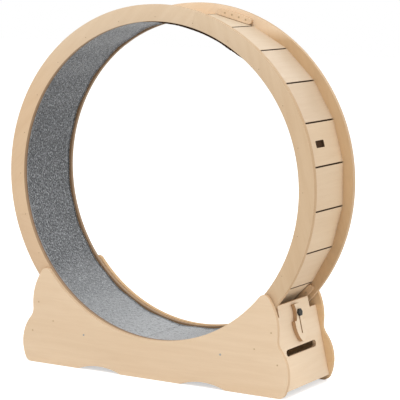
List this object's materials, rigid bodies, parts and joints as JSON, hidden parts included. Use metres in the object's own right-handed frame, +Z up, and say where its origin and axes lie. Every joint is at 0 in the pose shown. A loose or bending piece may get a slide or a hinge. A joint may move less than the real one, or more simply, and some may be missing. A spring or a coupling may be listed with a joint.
{
  "type": "cat exercise wheel",
  "caption": "Large plywood running wheel for a cat, carpet-lined and open on both sides, turning on rollers in a low scalloped stand with a sliding latch.",
  "frame": {"origin": "on the floor, under the middle of the wheel", "axes": "+Z up; -Y towards the viewer, at the front ring; +X towards the end panel that carries the latch; the wheel turns about Y"},
  "size_m": [0.9999, 0.288, 1.0639],
  "materials": {
    "birch_plywood": "satin",
    "pine": "satin",
    "grey_carpet": "matte",
    "zinc_screws": "satin",
    "axle_steel": "satin",
    "white_nylon": "matte",
    "roller_tyre": "matte",
    "black_plastic": "satin"
  },
  "bodies": {
    "stand": {"stand_front_panel": "birch_plywood", "stand_rear_panel": "birch_plywood", "right_end_panel": "birch_plywood", "left_end_panel": "birch_plywood", "right_rail": "pine", "left_rail": "pine", "latch_bolt": "axle_steel"},
    "wheel": {"front_ring_arc_1": "birch_plywood", "front_ring_arc_2": "birch_plywood", "front_ring_arc_3": "birch_plywood", "rear_ring_arc_1": "birch_plywood", "rear_ring_arc_2": "birch_plywood", "rear_ring_arc_3": "birch_plywood", "slat_00": "birch_plywood", "slat_02": "birch_plywood", "slat_03": "birch_plywood", "slat_04": "birch_plywood", "slat_05": "birch_plywood", "slat_06": "birch_plywood", "slat_07": "birch_plywood", "slat_08": "birch_plywood", "slat_09": "birch_plywood", "slat_10": "birch_plywood", "slat_11": "birch_plywood", "slat_12": "birch_plywood", "slat_13": "birch_plywood", "slat_14": "birch_plywood", "slat_15": "birch_plywood", "slat_16": "birch_plywood", "slat_17": "birch_plywood", "slat_18": "birch_plywood", "slat_19": "birch_plywood", "slat_20": "birch_plywood", "slat_21": "birch_plywood", "slat_22": "birch_plywood", "slat_23": "birch_plywood", "lock_slat": "birch_plywood", "front_splice_plates": "birch_plywood", "rear_splice_plates": "birch_plywood", "carpet_lining": "grey_carpet"},
    "latch": {"latch_plate": "birch_plywood"},
    "knob": {"latch_knob": "black_plastic"},
    "right_rollers": {"right_axle": "axle_steel", "right_roller_hubs": "white_nylon", "right_roller_tyres": "roller_tyre"},
    "left_rollers": {"left_axle": "axle_steel", "left_roller_hubs": "white_nylon", "left_roller_tyres": "roller_tyre"}
  },
  "joints": [
    {"name": "wheel_spin", "type": "hinge", "parent": "stand", "child": "wheel", "pos_m": [0, 0, 0.564], "axis": [0, 1, 0], "continuous": true},
    {"name": "latch_slide", "type": "slide", "parent": "stand", "child": "latch", "axis": [-0.2359, 0, 0.9718], "range_m": [0, 0.032]},
    {"name": "knob_turn", "type": "hinge", "parent": "stand", "child": "knob", "pos_m": [0.40906, 0, 0.21981], "axis": [0.9718, 0, 0.2359], "continuous": true},
    {"name": "right_rollers_spin", "type": "hinge", "parent": "stand", "child": "right_rollers", "pos_m": [0.22795, 0, 0.10075], "axis": [0, 1, 0], "continuous": true},
    {"name": "left_rollers_spin", "type": "hinge", "parent": "stand", "child": "left_rollers", "pos_m": [-0.22795, 0, 0.10075], "axis": [0, 1, 0], "continuous": true}
  ],
  "couplings": [
    {"joint": "right_rollers_spin", "follows": "wheel_spin", "ratio": -31.25},
    {"joint": "left_rollers_spin", "follows": "wheel_spin", "ratio": -31.25}
  ]
}
